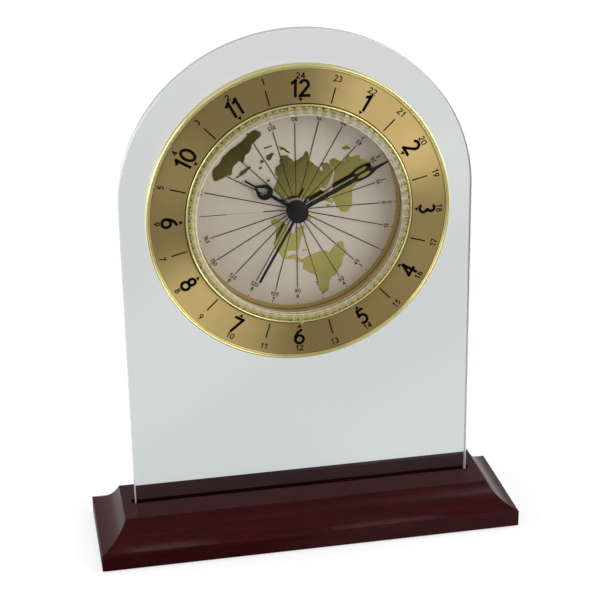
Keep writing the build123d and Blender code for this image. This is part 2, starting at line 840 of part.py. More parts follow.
# Back shell: a lid with the rear bearings, the board's posts and the knob's hole
with BuildPart() as movement_back_shell:
    block(-case_half_width, case_half_width, compartment_foot, case_top, plate_back, case_back)
    edges_above = movement_back_shell.edges().filter_by(Axis.Y).sort_by(Axis.Z)[-2:]
    fillet(edges_above, case_round)
    block(
        -case_inner_half, case_inner_half, compartment_low, compartment_top, plate_back,
        back_floor, mode=Mode.SUBTRACT,
    )
    for place in (centre, third_place, motor_place, rotor_place):
        square_bar(bearing_half, bearing_front, back_floor, place)
        round_bar(
            arbor_hole, bearing_front, back_floor - bearing_half + layer_gap, place,
            Mode.SUBTRACT,
        )
    for place in post_places:
        square_bar(post_half, board_back, back_floor, place)
    round_bar(knob_shaft_radius + running_gap, back_floor, case_back, knob_place, Mode.SUBTRACT)

# Battery cell, lying across the bay with its nub to the right
cell_tip = case_inner_half - contact_thickness - contact_play
cell_start = cell_tip - cell_nub_length - cell_length
with BuildPart() as battery_cell:
    with BuildSketch(Plane.YZ.offset(cell_start)):
        with Locations((cell_depth, dial_height + cell_place)):
            Circle(cell_radius)
    extrude(amount=cell_length)
    with BuildSketch(Plane.YZ.offset(cell_start + cell_length)):
        with Locations((cell_depth, dial_height + cell_place)):
            Circle(cell_nub_radius)
    extrude(amount=cell_nub_length)

# Contacts: a flat plate at the nub, and a bent leaf at the other end
with BuildPart() as contact_plate:
    with BuildSketch(Plane.YZ.offset(case_inner_half - contact_thickness)):
        with Locations((cell_depth, dial_height + cell_place)):
            Rectangle(contact_height, contact_width)
    extrude(amount=contact_thickness)

with BuildPart() as contact_leaf:
    leaf_wall = -case_inner_half
    leaf_reach = cell_start - contact_play
    leaf_front = cell_depth - contact_height / 2
    leaf_back = cell_depth + contact_height / 2
    with BuildSketch(Plane.XY.offset(dial_height + cell_place - contact_width / 2)):
        with BuildLine():
            Polyline(
                (leaf_wall, leaf_back),
                (leaf_wall, leaf_front),
                (leaf_wall + contact_thickness, leaf_front),
                (leaf_reach, cell_depth),
                (leaf_reach - contact_thickness, cell_depth),
                (leaf_wall + contact_thickness, leaf_front + 2 * contact_thickness),
                (leaf_wall + contact_thickness, leaf_back),
                close=True,
            )
        make_face()
    extrude(amount=contact_width)

os.makedirs("parts", exist_ok=True)
pieces = {
    "base": base,
    "base_felt": base_felt,
    "glass_panel": glass_panel,
    **slot_shims,
    "bezel": bezel,
    "dial_ring": dial_ring,
    "crystal": crystal,
    "well_ring": well_ring,
    "housing_cup": housing_cup,
    **foam_pads,
    "stem_washer": stem_washer,
    "stem_nut": stem_nut,
    "map_disc": map_disc,
    "hour_hand": hour_hand,
    "minute_hand": minute_hand,
    "second_hand": second_hand,
    "wheel_24_hour": wheel_24_hour,
    "hour_wheel": hour_wheel,
    "minute_pinion": minute_pinion,
    "centre_wheel": centre_wheel,
    "seconds_wheel": seconds_wheel,
    "motion_wheel": motion_wheel,
    "intermediate_24_hour_wheel": intermediate_24_hour_wheel,
    "setting_knob": setting_knob,
    "third_wheel": third_wheel,
    "motor_wheel": motor_wheel,
    "rotor": rotor,
    "stator_plate": stator_plate,
    "coil_core": coil_core,
    "coil_bobbin": coil_bobbin,
    "coil_winding": coil_winding,
    "circuit_board": circuit_board,
    "quartz_can": quartz_can,
    "movement_front_shell": movement_front_shell,
    "movement_middle_plate": movement_middle_plate,
    "movement_back_shell": movement_back_shell,
    "battery_cell": battery_cell,
    "contact_plate": contact_plate,
    "contact_leaf": contact_leaf,
}
for name, piece in pieces.items():
    piece.part.label = name
    export_step(piece.part, f"parts/{name}.step")
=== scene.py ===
import bmesh
import bpy
import json
from math import cos, radians, sin
from mathutils import Matrix, Vector, noise


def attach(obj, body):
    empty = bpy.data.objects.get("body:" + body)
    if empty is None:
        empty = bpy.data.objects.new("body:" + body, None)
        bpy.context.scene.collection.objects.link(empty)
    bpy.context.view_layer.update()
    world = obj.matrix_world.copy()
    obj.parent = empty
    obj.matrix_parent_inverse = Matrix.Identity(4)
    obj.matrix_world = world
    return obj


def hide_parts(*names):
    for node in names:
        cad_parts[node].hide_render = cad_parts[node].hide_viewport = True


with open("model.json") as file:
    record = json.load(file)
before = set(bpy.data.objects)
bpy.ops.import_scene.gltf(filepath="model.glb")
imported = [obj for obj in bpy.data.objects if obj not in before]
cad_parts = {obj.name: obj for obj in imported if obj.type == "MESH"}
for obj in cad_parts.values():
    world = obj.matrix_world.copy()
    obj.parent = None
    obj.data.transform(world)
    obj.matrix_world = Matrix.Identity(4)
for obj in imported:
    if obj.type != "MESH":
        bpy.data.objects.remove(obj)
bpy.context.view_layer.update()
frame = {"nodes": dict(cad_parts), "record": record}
nodes = frame["nodes"]

# Lengths in mm. Depths run along Y, away from the viewer
MM = 0.001
DIAL_HEIGHT = 141.2
DIAL_FACE = -4.8
DISC_FACE = 3.4
INK = 0.04
FOIL = 0.2
CRYSTAL_FLUTES = 72
RIM_NICKS = 96
PRINT_TURN = 1.2  # degrees clockwise, of all print on the hour ring
GLASS_IOR = 1.50
ACRYLIC_IOR = 1.49


# ---------------------------------------------------------------- node helpers
def principled(name, colour, metallic=0.0, roughness=0.5, **sockets):
    """New material with one Principled shader. Sockets are named with _ for a space."""
    material = bpy.data.materials.new(name)
    material.use_nodes = True
    shader = material.node_tree.nodes["Principled BSDF"]
    shader.inputs["Base Color"].default_value = (*colour, 1)
    shader.inputs["Metallic"].default_value = metallic
    shader.inputs["Roughness"].default_value = roughness
    for socket, value in sockets.items():
        shader.inputs[socket.replace("_", " ")].default_value = value
    return material


def parts_of(material):
    """Node tree and Principled shader of a material."""
    return material.node_tree, material.node_tree.nodes["Principled BSDF"]


def place_node(tree, stretch=(1, 1, 1)):
    """Object coordinates, stretched."""
    source = tree.nodes.new("ShaderNodeTexCoord")
    mapping = tree.nodes.new("ShaderNodeMapping")
    mapping.inputs["Scale"].default_value = stretch
    tree.links.new(source.outputs["Object"], mapping.inputs["Vector"])
    return mapping.outputs["Vector"]


def place_parts(tree, kind="Object"):
    """X, Y and Z of the object coordinates or, as "Generated", of a direction in the world."""
    source = tree.nodes.new("ShaderNodeTexCoord")
    parts = tree.nodes.new("ShaderNodeSeparateXYZ")
    tree.links.new(source.outputs[kind], parts.inputs["Vector"])
    return parts.outputs


def noise_node(tree, vector, scale, detail=4.0, roughness=0.55):
    """Noise value at a scale per metre."""
    texture = tree.nodes.new("ShaderNodeTexNoise")
    texture.inputs["Scale"].default_value = scale
    texture.inputs["Detail"].default_value = detail
    texture.inputs["Roughness"].default_value = roughness
    tree.links.new(vector, texture.inputs["Vector"])
    return texture.outputs["Fac"]


def ramp_node(tree, factor, stops):
    """Colour ramp with (position, colour) stops."""
    ramp = tree.nodes.new("ShaderNodeValToRGB")
    elements = ramp.color_ramp.elements
    while len(elements) < len(stops):
        elements.new(0.5)
    for element, (position, colour) in zip(elements, stops):
        element.position = position
        element.color = (*colour, 1)
    tree.links.new(factor, ramp.inputs["Fac"])
    return ramp.outputs["Color"]


def math_node(tree, operation, *values):
    """Result of a sum on some values, each of which is a number or an output."""
    node = tree.nodes.new("ShaderNodeMath")
    node.operation = operation
    for socket, value in zip(node.inputs, values):
        set_or_link(tree, socket, value)
    return node.outputs["Value"]


def range_node(tree, value, low, high, from_low=0.3, from_high=0.7):
    """Value moved from one range, by default that of a noise, to another."""
    node = tree.nodes.new("ShaderNodeMapRange")
    for socket, number in (
        ("From Min", from_low),
        ("From Max", from_high),
        ("To Min", low),
        ("To Max", high),
    ):
        node.inputs[socket].default_value = number
    tree.links.new(value, node.inputs["Value"])
    return node.outputs["Result"]


def set_or_link(tree, socket, value):
    """Give a socket a number, a colour or another node's output."""
    if isinstance(value, bpy.types.NodeSocket):
        tree.links.new(value, socket)
    elif isinstance(value, tuple):
        socket.default_value = (*value, 1)
    else:
        socket.default_value = value


def mix_node(tree, first, second, factor):
    """Mix of two values: the first where the factor is 0, the second where it is 1."""
    node = tree.nodes.new("ShaderNodeMix")
    set_or_link(tree, node.inputs["Factor"], factor)
    set_or_link(tree, node.inputs["A"], first)
    set_or_link(tree, node.inputs["B"], second)
    return node.outputs["Result"]


def multiply_node(tree, first, second):
    """Product of two colours."""
    return blend_node(tree, 1.0, first, second, "MULTIPLY")


def blend_node(tree, factor, first, second, blend="MIX"):
    """Mix of two colours."""
    node = tree.nodes.new("ShaderNodeMixRGB")
    node.blend_type = blend
    for socket, value in zip(node.inputs, (factor, first, second)):
        set_or_link(tree, socket, value)
    return node.outputs["Color"]


def shader_mix(tree, factor, first, second):
    """Mix of two shader nodes."""
    node = tree.nodes.new("ShaderNodeMixShader")
    set_or_link(tree, node.inputs["Fac"], factor)
    tree.links.new(first.outputs[0], node.inputs[1])
    tree.links.new(second.outputs[0], node.inputs[2])
    return node


def bump_node(tree, height, strength, distance):
    """Bump, with its distance in metres."""
    bump = tree.nodes.new("ShaderNodeBump")
    bump.inputs["Strength"].default_value = strength
    bump.inputs["Distance"].default_value = distance
    tree.links.new(height, bump.inputs["Height"])
    return bump.outputs["Normal"]


def length_node(tree, vector):
    """Length of a vector."""
    node = tree.nodes.new("ShaderNodeVectorMath")
    node.operation = "LENGTH"
    tree.links.new(vector, node.inputs[0])
    return node.outputs["Value"]


def clear_node(tree, colour):
    """Shader that lets light straight through, tinted."""
    node = tree.nodes.new("ShaderNodeBsdfTransparent")
    node.inputs["Color"].default_value = (*colour, 1)
    return node


def set_surface(tree, shader):
    """Make a shader node the surface of its material."""
    tree.links.new(shader.outputs[0], tree.nodes["Material Output"].inputs["Surface"])


def dial_radius(tree):
    """Distance from the dial's centre line, in metres."""
    flat = tree.nodes.new("ShaderNodeVectorMath")
    flat.operation = "MULTIPLY_ADD"
    flat.inputs[1].default_value = (1, 0, 1)
    flat.inputs[2].default_value = (0, 0, -DIAL_HEIGHT * MM)
    tree.links.new(place_node(tree), flat.inputs[0])
    return length_node(tree, flat.outputs["Vector"])


def beyond(tree, radius, low, high):
    """0 inside the smaller radius and 1 outside the larger one, both in mm."""
    return range_node(tree, radius, 0.0, 1.0, low * MM, high * MM)


def round_wave(tree, count):
    """Wave between 0 and 1, this many times round the dial's centre line."""
    x, _, z = place_parts(tree)
    turn = math_node(tree, "ARCTAN2", math_node(tree, "SUBTRACT", z, DIAL_HEIGHT * MM), x)
    wave = math_node(tree, "COSINE", math_node(tree, "MULTIPLY", turn, count))
    return math_node(tree, "MULTIPLY_ADD", wave, 0.5, 0.5)


def grained(material, scale, rough_low, rough_high, depth, strength=0.3):
    """Moulded or cast surface: fine bump and uneven gloss."""
    tree, shader = parts_of(material)
    grain = noise_node(tree, place_node(tree), scale)
    tree.links.new(range_node(tree, grain, rough_low, rough_high), shader.inputs["Roughness"])
    tree.links.new(bump_node(tree, grain, strength, depth), shader.inputs["Normal"])
    return material


# ---------------------------------------------------------------- materials
def lacquered_wood():
    """Dark red-brown grain under a clear gloss coat."""
    material = principled(
        "lacquered_wood", (0.05, 0.01, 0.01), Specular_IOR_Level=0.02,
        Coat_Weight=0.38, Coat_Roughness=0.2, Coat_IOR=1.5,
    )
    tree, shader = parts_of(material)
    grain = noise_node(tree, place_node(tree, (6, 90, 90)), 5.0, 8.0, 0.6)
    pores = noise_node(tree, place_node(tree, (30, 700, 700)), 3.0, 3.0, 0.7)
    tone = ramp_node(
        tree,
        grain,
        (
            (0.30, (0.022, 0.0012, 0.0018)),
            (0.52, (0.030, 0.0019, 0.0024)),
            (0.72, (0.038, 0.0030, 0.0034)),
        ),
    )
    dark = ramp_node(tree, pores, ((0.35, (0.65, 0.62, 0.62)), (0.5, (1, 1, 1))))
    tree.links.new(multiply_node(tree, tone, dark), shader.inputs["Base Color"])
    tree.links.new(range_node(tree, grain, 0.40, 0.52), shader.inputs["Roughness"])
    tree.links.new(bump_node(tree, grain, 0.10, 0.0003), shader.inputs["Coat Normal"])
    return material


def clear_pane(name, colour, ior, roughness=0.0, transmission=1.0):
    """Clear solid that refracts what is behind it and lets the lamps through."""
    material = principled(
        name, colour, roughness=roughness, IOR=ior, Transmission_Weight=transmission
    )
    tree, shader = parts_of(material)
    ripple = noise_node(tree, place_node(tree), 25.0, 2.0)
    tree.links.new(bump_node(tree, ripple, 0.02, 0.0002), shader.inputs["Normal"])
    path = tree.nodes.new("ShaderNodeLightPath")
    through = clear_node(tree, colour)
    set_surface(tree, shader_mix(tree, path.outputs["Is Shadow Ray"], shader, through))
    return material


def slab_glass():
    """Glass of the slab, neutral at the top and faintly green at the bottom."""
    tints = (
        (0.0, (0.655, 0.694, 0.684)),
        (0.6, (0.650, 0.672, 0.666)),
        (1.0, (0.648, 0.646, 0.654)),
    )
    foot, top = 0.05, 0.21
    material = clear_pane("clear_glass", tints[0][1], GLASS_IOR)
    tree, shader = parts_of(material)
    height = range_node(tree, place_parts(tree)["Z"], 0.0, 1.0, foot, top)
    tree.links.new(ramp_node(tree, height, tints), shader.inputs["Base Color"])
    return material


def lower_left_glow(tree):
    """Grey that is brighter at the dial's lower left, where the bevel gathers more light."""
    reach = 62
    ends = ((DIAL_HEIGHT - reach) * MM, (DIAL_HEIGHT + reach) * MM)
    x, _, z = place_parts(tree)
    diagonal = range_node(tree, math_node(tree, "ADD", x, z), 0.0, 1.0, *ends)
    return ramp_node(tree, diagonal, ((0.0, (1.0,) * 3), (0.5, (0.66,) * 3), (1.0, (0.50,) * 3)))


def clear_crystal():
    """Clear flat crystal with a gloss, whose fluted bevel scatters the light. The bevel's colour
    holds painted reflections of the brass in rings, a painted highlight at its inner edge, painted
    light and shade on its flutes, and painted light at the lower left. A rope runs round its rim,
    its nicks painted bright and dark as light and shade."""
    material = principled("clear_crystal", (0.60, 0.52, 0.38), roughness=0.25)
    tree, bevel = parts_of(material)
    radius = dial_radius(tree)
    nicks = round_wave(tree, RIM_NICKS)
    # Painted light and shade: the flutes and nicks stripe the bevel's colour lighter and darker
    painted_flute_shade = ramp_node(
        tree,
        mix_node(tree, round_wave(tree, CRYSTAL_FLUTES), nicks, 0.35),
        ((0.0, (0.86, 0.86, 0.84)), (0.6, (0.98, 0.98, 0.98)), (1.0, (1.08, 1.08, 1.06))),
    )
    # Painted reflections: rings of brass colour across the bevel, with a painted highlight line at
    # its inner edge
    painted_band_reflections = ramp_node(
        tree,
        beyond(tree, radius, 42.2, 44.8),
        (
            (0.00, (1.00, 0.95, 0.80)),
            (0.09, (0.47, 0.38, 0.18)),
            (0.38, (0.70, 0.61, 0.38)),
            (0.62, (0.60, 0.51, 0.27)),
            (0.85, (0.50, 0.43, 0.18)),
            (1.00, (0.55, 0.49, 0.19)),
        ),
    )
    # The rope round the rim, its nicks in painted light and shade, bright and dark
    rope = ramp_node(
        tree,
        nicks,
        ((0.04, (0.16, 0.15, 0.04)), (0.22, (0.42, 0.39, 0.13)), (0.85, (0.52, 0.48, 0.18))),
    )
    tone = multiply_node(tree, multiply_node(tree, painted_band_reflections, painted_flute_shade), lower_left_glow(tree))
    crests = range_node(tree, nicks, 0.0, 0.55, 0.88, 0.97)
    ticks = math_node(tree, "MULTIPLY", crests, beyond(tree, radius, 43.7, 43.8))
    tone = blend_node(tree, ticks, tone, (0.10, 0.08, 0.02))
    tone = blend_node(tree, beyond(tree, radius, 44.3, 44.4), tone, rope)
    tree.links.new(tone, bevel.inputs["Base Color"])
    through = clear_node(tree, (0.975, 0.975, 0.965))
    gloss = tree.nodes.new("ShaderNodeBsdfGlossy")
    gloss.inputs["Roughness"].default_value = 0.03
    fresnel = tree.nodes.new("ShaderNodeFresnel")
    fresnel.inputs["IOR"].default_value = 1.28
    inside = tree.nodes.new("ShaderNodeNewGeometry").outputs["Backfacing"]
    outside = math_node(tree, "SUBTRACT", 1.0, inside)
    shine = math_node(tree, "MULTIPLY", fresnel.outputs["Fac"], outside)
    clear = shader_mix(tree, shine, through, gloss)
    veil = shader_mix(tree, 0.25, bevel, through)
    set_surface(tree, shader_mix(tree, beyond(tree, radius, 41.75, 42.15), clear, veil))
    return material


def polished_brass(name, colour, low, high, metallic=1.0):
    """Bright plated brass with faint smears, between two values of roughness."""
    material = principled(name, colour, metallic=metallic)
    tree, shader = parts_of(material)
    smear = noise_node(tree, place_node(tree), 90.0, 5.0)
    tree.links.new(range_node(tree, smear, low, high), shader.inputs["Roughness"])
    return material


def map_foil():
    """Gold foil of the map, faintly dented."""
    material = polished_brass("map_gold", (0.64, 0.57, 0.18), 0.15, 0.21)
    tree, shader = parts_of(material)
    dents = noise_node(tree, place_node(tree), 420.0, 3.0)
    tree.links.new(bump_node(tree, dents, 0.5, 0.00004), shader.inputs["Normal"])
    return material


def brushed_brass():
    """Gold ring, brushed round the dial's centre, with painted shadow lines in the joints at its
    inner and its outer edge.
    """
    material = principled(
        "brushed_brass", (0.62, 0.47, 0.20), metallic=1.0,
        Anisotropic=0.9, Anisotropic_Rotation=0.25,
    )
    tree, shader = parts_of(material)
    radius = dial_radius(tree)
    streak = tree.nodes.new("ShaderNodeTexNoise")
    streak.noise_dimensions = "1D"
    streak.inputs["Scale"].default_value = 9000.0
    streak.inputs["Detail"].default_value = 3.0
    tree.links.new(radius, streak.inputs["W"])
    tone = ramp_node(
        tree, streak.outputs["Fac"], ((0.3, (0.75, 0.55, 0.215)), (0.7, (0.88, 0.66, 0.28)))
    )
    # Painted shadow: dark lines in the joints where the ring meets the inner lip and the outer rim
    inner = range_node(tree, radius, 0.95, 0.0, 46.45 * MM, 46.65 * MM)
    outer = range_node(tree, radius, 0.0, 0.65, 60.0 * MM, 60.35 * MM)
    tone = blend_node(tree, math_node(tree, "MAXIMUM", inner, outer), tone, (0.05, 0.035, 0.01))
    tangent = tree.nodes.new("ShaderNodeTangent")
    tangent.direction_type = "RADIAL"
    tangent.axis = "Y"
    tree.links.new(tone, shader.inputs["Base Color"])
    tree.links.new(range_node(tree, streak.outputs["Fac"], 0.30, 0.42), shader.inputs["Roughness"])
    tree.links.new(tangent.outputs["Tangent"], shader.inputs["Tangent"])
    return material


def printed_disc():
    """Matte silver disc of the map, with a faint fine weave."""
    material = principled("printed_disc", (0.72, 0.64, 0.55), metallic=0.12)
    tree, shader = parts_of(material)
    mottle = noise_node(tree, place_node(tree), 60.0, 3.0)
    fine = noise_node(tree, place_node(tree), 5000.0, 2.0)
    tone = ramp_node(tree, mottle, ((0.3, (0.60, 0.53, 0.455)), (0.7, (0.64, 0.57, 0.495))))
    tree.links.new(tone, shader.inputs["Base Color"])
    tree.links.new(range_node(tree, mottle, 0.38, 0.46), shader.inputs["Roughness"])
    tree.links.new(bump_node(tree, fine, 0.15, 0.00002), shader.inputs["Normal"])
    return material


def felt():
    """Short black felt."""
    material = principled("felt", (0.012, 0.012, 0.013), roughness=0.95, Sheen_Weight=0.4)
    tree, shader = parts_of(material)
    pile = noise_node(tree, place_node(tree), 2500.0, 3.0)
    tone = ramp_node(tree, pile, ((0.3, (0.006, 0.006, 0.007)), (0.7, (0.022, 0.022, 0.024))))
    tree.links.new(tone, shader.inputs["Base Color"])
    tree.links.new(bump_node(tree, pile, 0.8, 0.0003), shader.inputs["Normal"])
    return material


def wound_wire():
    """Fine enamelled wire in even turns along X."""
    material = principled("copper_wire", (0.70, 0.30, 0.14), metallic=1.0, roughness=0.3)
    tree, shader = parts_of(material)
    wave = tree.nodes.new("ShaderNodeTexWave")
    wave.bands_direction = "X"
    wave.inputs["Scale"].default_value = 1600.0
    tree.links.new(place_node(tree), wave.inputs["Vector"])
    tree.links.new(bump_node(tree, wave.outputs["Fac"], 0.8, 0.0001), shader.inputs["Normal"])
    return material


def plated_steel():
    """Bright nickel plate with faint rolling lines."""
    material = principled("soft_iron", (0.62, 0.61, 0.58), metallic=1.0)
    tree, shader = parts_of(material)
    lines = noise_node(tree, place_node(tree, (40, 900, 900)), 3.0, 4.0)
    tree.links.new(range_node(tree, lines, 0.22, 0.38), shader.inputs["Roughness"])
    tree.links.new(bump_node(tree, lines, 0.2, 0.00003), shader.inputs["Normal"])
    return material


MATTE_PRINT = {"Specular_IOR_Level": 0.08}
# Name: colour, other sockets, and the grain as its scale per metre, least and most roughness,
# depth in metres and strength
GRAINED = {
    "black_plastic": (
        (0.012, 0.012, 0.013), {"Specular_IOR_Level": 0.45}, (2600.0, 0.42, 0.58, 0.00006)
    ),
    "white_plastic": ((0.78, 0.77, 0.71), {}, (1800.0, 0.30, 0.42, 0.00003)),
    "black_metal": (
        (0.008, 0.008, 0.010), {"Specular_IOR_Level": 0.35}, (900.0, 0.30, 0.40, 0.00002, 0.15)
    ),
    "black_foam": ((0.02, 0.02, 0.02), {}, (1500.0, 0.85, 0.95, 0.0002, 0.8)),
    "board_laminate": ((0.07, 0.16, 0.08), {}, (700.0, 0.45, 0.55, 0.00003)),
    "magnet": ((0.16, 0.16, 0.17), {"metallic": 0.8}, (1200.0, 0.45, 0.6, 0.00004)),
    "cell_sleeve": (
        (0.055, 0.058, 0.065), {"metallic": 0.3, "Coat_Weight": 0.6}, (300.0, 0.28, 0.36, 0.00002)
    ),
    "satin_brass": (
        (0.50, 0.37, 0.15), {"metallic": 0.3}, (700.0, 0.26, 0.36, 0.000005, 0.1)
    ),
    "dial_ink": ((0.004, 0.002, 0.001), MATTE_PRINT, (900.0, 0.5, 0.6, 0.00001)),
    "disc_ink": ((0.010, 0.007, 0.006), MATTE_PRINT, (900.0, 0.5, 0.6, 0.00001)),
}
LOOKS = {
    name: grained(principled(name, colour, **sockets), *grain)
    for name, (colour, sockets, grain) in GRAINED.items()
}
LOOKS |= {
    "lacquered_wood": lacquered_wood(),
    "black_felt": felt(),
    "clear_glass": slab_glass(),
    "clear_glass_edge": clear_pane("clear_glass_edge", (0.60, 0.65, 0.61), GLASS_IOR, 0.25, 0.35),
    "clear_plastic": clear_pane("clear_plastic", (0.965, 0.965, 0.955), ACRYLIC_IOR),
    "polished_brass": polished_brass("polished_brass", (0.83, 0.69, 0.30), 0.07, 0.16),
    "bezel_brass": polished_brass("bezel_brass", (0.84, 0.78, 0.36), 0.16, 0.24, 0.72),
    "map_gold": map_foil(),
    "brushed_brass": brushed_brass(),
    "soft_iron": plated_steel(),
    "copper_wire": wound_wire(),
    "printed_disc": printed_disc(),
}
for part in frame["record"]["subparts"]:
    mesh = nodes[part["node"]].data
    mesh.materials.clear()
    mesh.materials.append(LOOKS[part["material_slot"]])
nodes["crystal"].data.materials[0] = clear_crystal()

# The slab's outer edges and bevels are duller than its faces and the wall of its round hole
FLAT_NORMAL = 0.95
HOLE_LIMIT = 50
pane = nodes["glass_panel"].data
pane.materials.append(LOOKS["clear_glass_edge"])
for face in pane.polygons:
    tilted = abs(face.normal.y) < FLAT_NORMAL
    from_dial = Vector((face.center.x, 0, face.center.z - DIAL_HEIGHT * MM)).length
    face.material_index = int(tilted and from_dial > HOLE_LIMIT * MM)


# ---------------------------------------------------------------- print and foil on the dial
def on_plane(depth):
    """Matrix from a flat drawing, in mm from the dial's centre, to its place at a depth."""
    return Matrix(
        (
            (MM, 0, 0, 0),
            (0, 0, -MM, depth * MM),
            (0, MM, 0, DIAL_HEIGHT * MM),
            (0, 0, 0, 1),
        )
    )


def polar(radius, turn):
    """(right, up) at a radius, by the clockwise turn from twelve o'clock."""
    return Vector((radius * sin(radians(turn)), radius * cos(radians(turn)), 0))


def new_object(name, data):
    """New object in the scene, with this data."""
    obj = bpy.data.objects.new(name, data)
    bpy.context.scene.collection.objects.link(obj)
    return obj


def mesh_from(name, drawing):
    """Mesh made from a drawing, which is freed."""
    mesh = bpy.data.meshes.new(name)
    drawing.to_mesh(mesh)
    drawing.free()
    return mesh


def piece_from(name, drawing, depth, look, body):
    """New piece from a drawing in mm, which then rides on a body."""
    drawing.transform(on_plane(depth))
    bmesh.ops.recalc_face_normals(drawing, faces=drawing.faces[:])
    mesh = mesh_from(name, drawing)
    mesh.materials.append(LOOKS[look])
    piece = new_object(name, mesh)
    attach(piece, body)
    return piece


def add_prism(drawing, outline, thickness):
    """Thin plate with this outline, from the plane towards the viewer."""
    below = [drawing.verts.new((place.x, place.y, 0)) for place in outline]
    above = [drawing.verts.new((place.x, place.y, thickness)) for place in outline]
    drawing.faces.new(above)
    drawing.faces.new(below[::-1])
    for i, corner in enumerate(below):
        after = (i + 1) % len(below)
        drawing.faces.new((corner, below[after], above[after], above[i]))


def add_stroke(drawing, start, end, width, thickness=INK):
    """Straight stroke with cut corners, between two places."""
    along = (end - start).normalized()
    across = Vector((-along.y, along.x, 0)) * width / 2
    cut = along * width / 4
    outline = [
        start + cut - across, end - cut - across, end - across * 0.5, end + across * 0.5,
        end - cut + across, start + cut + across, start + across * 0.5, start - across * 0.5,
    ]
    add_prism(drawing, outline, thickness)


# Digits as centre lines in a box one unit high: (x, y, x, y) is a straight stroke, and
# (x, y, half width, half height, first angle, last angle) is an arc
DIGIT_GAP = 0.12
ARC_STEP = 15
DIGITS = {
    "0": (0.62, ((0.31, 0.50, 0.31, 0.50, 0, 360),)),
    "1": (0.20, ((0.20, 0.0, 0.20, 1.0), (0.20, 1.0, 0.0, 0.86))),
    "2": (
        0.56, ((0.26, 0.73, 0.27, 0.27, 165, -38), (0.473, 0.564, 0.0, 0.0), (0.0, 0.0, 0.56, 0.0))
    ),
    "3": (0.52, ((0.23, 0.76, 0.22, 0.24, 150, -82), (0.23, 0.26, 0.28, 0.26, 88, -145))),
    "4": (0.60, ((0.44, 0.0, 0.44, 1.0), (0.44, 1.0, 0.0, 0.28), (0.0, 0.28, 0.60, 0.28))),
    "5": (
        0.52, ((0.48, 1.0, 0.13, 1.0), (0.13, 1.0, 0.08, 0.58), (0.24, 0.32, 0.28, 0.32, 126, -140))
    ),
    "6": (0.56, ((0.28, 0.29, 0.28, 0.29, 0, 360), (0.64, 0.29, 0.64, 0.74, 180, 107))),
    "7": (0.52, ((0.0, 1.0, 0.52, 1.0), (0.52, 1.0, 0.14, 0.0))),
    "8": (0.56, ((0.28, 0.77, 0.21, 0.23, 0, 360), (0.28, 0.27, 0.28, 0.27, 0, 360))),
    "9": (0.56, ((0.28, 0.71, 0.28, 0.29, 0, 360), (-0.08, 0.71, 0.64, 0.74, 0, -73))),
}


def stroke_path(shape):
    """Places along one stroke of a digit."""
    if len(shape) == 4:
        return [Vector((*shape[:2], 0)), Vector((*shape[2:], 0))]
    x, y, half_width, half_height, first, last = shape
    steps = round(abs(last - first) / ARC_STEP)
    angles = [radians(first + (last - first) * step / steps) for step in range(steps + 1)]
    return [Vector((x + half_width * cos(a), y + half_height * sin(a), 0)) for a in angles]


def add_ribbon(drawing, path, width, thickness=INK):
    """Raised stroke of even width. A path that ends where it starts gives a closed ring."""
    closed = (path[0] - path[-1]).length < width / 100
    points = path[:-1] if closed else path
    count = len(points)
    rise = Vector((0, 0, thickness))
    rows = []
    for i, point in enumerate(points):
        before = points[i - 1] if closed or i > 0 else point
        after = points[(i + 1) % count] if closed or i < count - 1 else point
        along = (after - before).normalized()
        side = Vector((-along.y, along.x, 0)) * width / 2
        corners = (point + side, point - side, point - side + rise, point + side + rise)
        rows.append([drawing.verts.new(corner) for corner in corners])
    for here, there in zip(rows, rows[1:] + (rows[:1] if closed else [])):
        for i in range(4):
            j = (i + 1) % 4
            drawing.faces.new((here[i], there[i], there[j], here[j]))
    if not closed:
        drawing.faces.new(rows[0])
        drawing.faces.new(rows[-1])


def add_number(drawing, number, place, turn, height, stroke, pitch=0.0):
    """Number in raised strokes, its top turned clockwise by a turn from straight up. With a
    pitch, each digit stands in the middle of a cell of that width."""
    scale = height - stroke
    gap = DIGIT_GAP + stroke / scale
    paths = []
    start = 0.0
    for digit in str(number):
        width, shapes = DIGITS[digit]
        inset = max(0.0, (pitch - gap - width) / 2)
        paths += [
            [point + Vector((start + inset, 0, 0)) for point in stroke_path(shape)]
            for shape in shapes
        ]
        start += max(pitch, width + gap)
    middle = Vector(((start - gap) / 2, 0.5, 0))
    turned = Matrix.Rotation(-radians(turn), 3, "Z")
    for path in paths:
        points = [place + turned @ (point - middle) * scale for point in path]
        if len(points) == 2:
            end = (points[1] - points[0]).normalized() * stroke / 2
            points = [points[0] - end, points[1] + end]
        add_ribbon(drawing, points, stroke)


# Hour ring: large hour numbers, a small triangle inside each, lines at the half hours,
# and the day's hours in small numbers the other way round
HOUR_RADIUS, HOUR_HEIGHT, HOUR_STROKE = 52.5, 7.3, 1.2
DAY_RADIUS, DAY_HEIGHT, DAY_STROKE, DAY_PITCH = 57.6, 2.6, 0.44, 0.80
POINTER_TIP, POINTER_FOOT, POINTER_TURN = 47.1, 48.6, 1.05
MARK_START, MARK_END, MARK_WIDTH = 47.4, 54.0, 0.54


def readable(clock_turn):
    """Turn of a number's top: outwards, but towards the centre in the dial's lower half."""
    return clock_turn + PRINT_TURN + (180 if 90 < clock_turn < 270 else 0)


